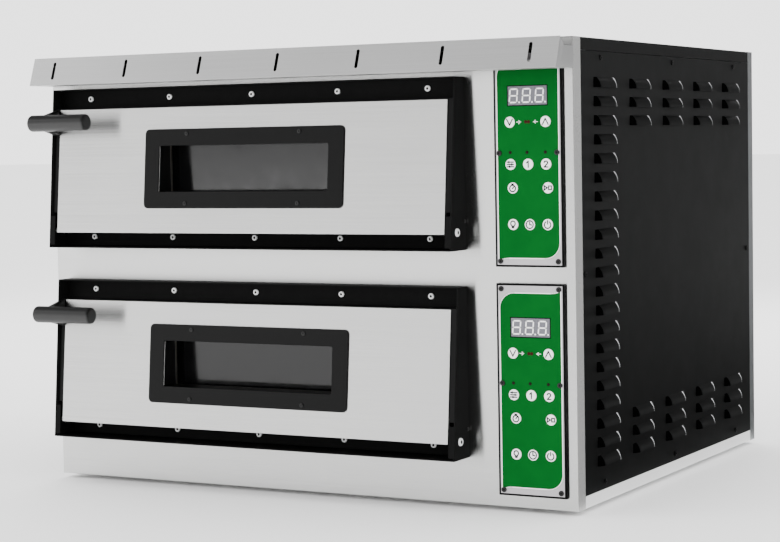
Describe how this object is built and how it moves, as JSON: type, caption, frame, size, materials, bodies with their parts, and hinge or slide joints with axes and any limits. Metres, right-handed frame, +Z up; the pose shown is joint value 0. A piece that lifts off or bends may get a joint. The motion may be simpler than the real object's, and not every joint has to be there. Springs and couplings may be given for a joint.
{
  "type": "countertop pizza oven",
  "caption": "Two-deck electric pizza oven for a counter: drop-down windowed doors with side grips, a sloping canopy, louvred sides and a keypad with a digit display for each deck.",
  "frame": {"origin": "centre of the whole object's box, on the plane that its feet stand on", "axes": "+Z up, doors and keypads face -Y, +X to the right as the user faces the doors"},
  "size_m": [1.016, 0.9584, 0.745],
  "materials": {
    "stainless": "brushed stainless sheet",
    "galvanised": "galvanised sheet",
    "black_coating": "satin black powder coat",
    "black_enamel": "black heat-proof enamel",
    "black_fastener": "blackened steel",
    "bright_fastener": "zinc-plated steel",
    "foot_rubber": "moulded rubber",
    "aluminised": "aluminised steel",
    "refractory": "fired refractory slab",
    "element_sheath": "heat-darkened sheath",
    "mineral_wool": "mineral wool",
    "bezel_plastic": "moulded black plastic",
    "plate_grey": "light grey coating",
    "overlay_green": "printed polycarbonate film",
    "display_grey": "tinted display window",
    "key_white": "printed white key",
    "board_green": "circuit boards and terminals",
    "lamp_glass": "lamp lens and probe sheath",
    "gland_plastic": "moulded nylon",
    "handle_plastic": "moulded phenolic",
    "oven_glass": "heat-proof tinted glass"
  },
  "bodies": {
    "cabinet": {"base_tray": "galvanised", "front_fascia": "stainless", "right_side_panel": "black_coating", "left_side_panel": "black_coating", "rear_panel": "black_coating", "top_cover": "black_coating", "canopy": "stainless", "rubber_feet": "foot_rubber", "cabinet_screws": "black_fastener", "inner_frame": "galvanised", "upper_chamber": "aluminised", "lower_chamber": "aluminised", "baking_stones": "refractory", "heating_elements": "element_sheath", "insulation": "mineral_wool", "upper_door_surround": "black_enamel", "lower_door_surround": "black_enamel", "front_screws": "bright_fastener", "control_bezels": "bezel_plastic", "control_plates": "plate_grey", "keypad_overlays": "overlay_green", "digit_displays": "display_grey", "control_electronics": "board_green", "lamps_and_probes": "lamp_glass", "cable_gland": "gland_plastic", "hinge_pins": "bright_fastener"},
    "upper_door": {"upper_door_pan": "black_enamel", "upper_door_facing": "stainless", "upper_window_frame": "black_enamel", "upper_window_screws": "black_fastener", "upper_window_glass": "oven_glass", "upper_door_liner": "aluminised", "upper_door_handle": "handle_plastic"},
    "lower_door": {"lower_door_pan": "black_enamel", "lower_door_facing": "stainless", "lower_window_frame": "black_enamel", "lower_window_screws": "black_fastener", "lower_window_glass": "oven_glass", "lower_door_liner": "aluminised", "lower_door_handle": "handle_plastic"},
    "upper_key_down": {"upper_key_down": "key_white"},
    "upper_key_up": {"upper_key_up": "key_white"},
    "upper_key_set": {"upper_key_set": "key_white"},
    "upper_key_one": {"upper_key_one": "key_white"},
    "upper_key_two": {"upper_key_two": "key_white"},
    "upper_key_timer": {"upper_key_timer": "key_white"},
    "upper_key_start": {"upper_key_start": "key_white"},
    "upper_key_lamp": {"upper_key_lamp": "key_white"},
    "upper_key_clock": {"upper_key_clock": "key_white"},
    "upper_key_power": {"upper_key_power": "key_white"},
    "lower_key_down": {"lower_key_down": "key_white"},
    "lower_key_up": {"lower_key_up": "key_white"},
    "lower_key_set": {"lower_key_set": "key_white"},
    "lower_key_one": {"lower_key_one": "key_white"},
    "lower_key_two": {"lower_key_two": "key_white"},
    "lower_key_timer": {"lower_key_timer": "key_white"},
    "lower_key_start": {"lower_key_start": "key_white"},
    "lower_key_lamp": {"lower_key_lamp": "key_white"},
    "lower_key_clock": {"lower_key_clock": "key_white"},
    "lower_key_power": {"lower_key_power": "key_white"}
  },
  "joints": [
    {"name": "upper_door_hinge", "type": "hinge", "parent": "cabinet", "child": "upper_door", "pos_m": [-0.08175, -0.4218, 0.4436], "axis": [1, 0, 0], "range_deg": [0, 90]},
    {"name": "lower_door_hinge", "type": "hinge", "parent": "cabinet", "child": "lower_door", "pos_m": [-0.08175, -0.4218, 0.112], "axis": [1, 0, 0], "range_deg": [0, 90]},
    {"name": "upper_key_down_press", "type": "slide", "parent": "cabinet", "child": "upper_key_down", "axis": [0, 1, 0], "range_m": [0, 0.00035], "stiffness_N_per_m": 300},
    {"name": "upper_key_up_press", "type": "slide", "parent": "cabinet", "child": "upper_key_up", "axis": [0, 1, 0], "range_m": [0, 0.00035], "stiffness_N_per_m": 300},
    {"name": "upper_key_set_press", "type": "slide", "parent": "cabinet", "child": "upper_key_set", "axis": [0, 1, 0], "range_m": [0, 0.00035], "stiffness_N_per_m": 300},
    {"name": "upper_key_one_press", "type": "slide", "parent": "cabinet", "child": "upper_key_one", "axis": [0, 1, 0], "range_m": [0, 0.00035], "stiffness_N_per_m": 300},
    {"name": "upper_key_two_press", "type": "slide", "parent": "cabinet", "child": "upper_key_two", "axis": [0, 1, 0], "range_m": [0, 0.00035], "stiffness_N_per_m": 300},
    {"name": "upper_key_timer_press", "type": "slide", "parent": "cabinet", "child": "upper_key_timer", "axis": [0, 1, 0], "range_m": [0, 0.00035], "stiffness_N_per_m": 300},
    {"name": "upper_key_start_press", "type": "slide", "parent": "cabinet", "child": "upper_key_start", "axis": [0, 1, 0], "range_m": [0, 0.00035], "stiffness_N_per_m": 300},
    {"name": "upper_key_lamp_press", "type": "slide", "parent": "cabinet", "child": "upper_key_lamp", "axis": [0, 1, 0], "range_m": [0, 0.00035], "stiffness_N_per_m": 300},
    {"name": "upper_key_clock_press", "type": "slide", "parent": "cabinet", "child": "upper_key_clock", "axis": [0, 1, 0], "range_m": [0, 0.00035], "stiffness_N_per_m": 300},
    {"name": "upper_key_power_press", "type": "slide", "parent": "cabinet", "child": "upper_key_power", "axis": [0, 1, 0], "range_m": [0, 0.00035], "stiffness_N_per_m": 300},
    {"name": "lower_key_down_press", "type": "slide", "parent": "cabinet", "child": "lower_key_down", "axis": [0, 1, 0], "range_m": [0, 0.00035], "stiffness_N_per_m": 300},
    {"name": "lower_key_up_press", "type": "slide", "parent": "cabinet", "child": "lower_key_up", "axis": [0, 1, 0], "range_m": [0, 0.00035], "stiffness_N_per_m": 300},
    {"name": "lower_key_set_press", "type": "slide", "parent": "cabinet", "child": "lower_key_set", "axis": [0, 1, 0], "range_m": [0, 0.00035], "stiffness_N_per_m": 300},
    {"name": "lower_key_one_press", "type": "slide", "parent": "cabinet", "child": "lower_key_one", "axis": [0, 1, 0], "range_m": [0, 0.00035], "stiffness_N_per_m": 300},
    {"name": "lower_key_two_press", "type": "slide", "parent": "cabinet", "child": "lower_key_two", "axis": [0, 1, 0], "range_m": [0, 0.00035], "stiffness_N_per_m": 300},
    {"name": "lower_key_timer_press", "type": "slide", "parent": "cabinet", "child": "lower_key_timer", "axis": [0, 1, 0], "range_m": [0, 0.00035], "stiffness_N_per_m": 300},
    {"name": "lower_key_start_press", "type": "slide", "parent": "cabinet", "child": "lower_key_start", "axis": [0, 1, 0], "range_m": [0, 0.00035], "stiffness_N_per_m": 300},
    {"name": "lower_key_lamp_press", "type": "slide", "parent": "cabinet", "child": "lower_key_lamp", "axis": [0, 1, 0], "range_m": [0, 0.00035], "stiffness_N_per_m": 300},
    {"name": "lower_key_clock_press", "type": "slide", "parent": "cabinet", "child": "lower_key_clock", "axis": [0, 1, 0], "range_m": [0, 0.00035], "stiffness_N_per_m": 300},
    {"name": "lower_key_power_press", "type": "slide", "parent": "cabinet", "child": "lower_key_power", "axis": [0, 1, 0], "range_m": [0, 0.00035], "stiffness_N_per_m": 300}
  ]
}
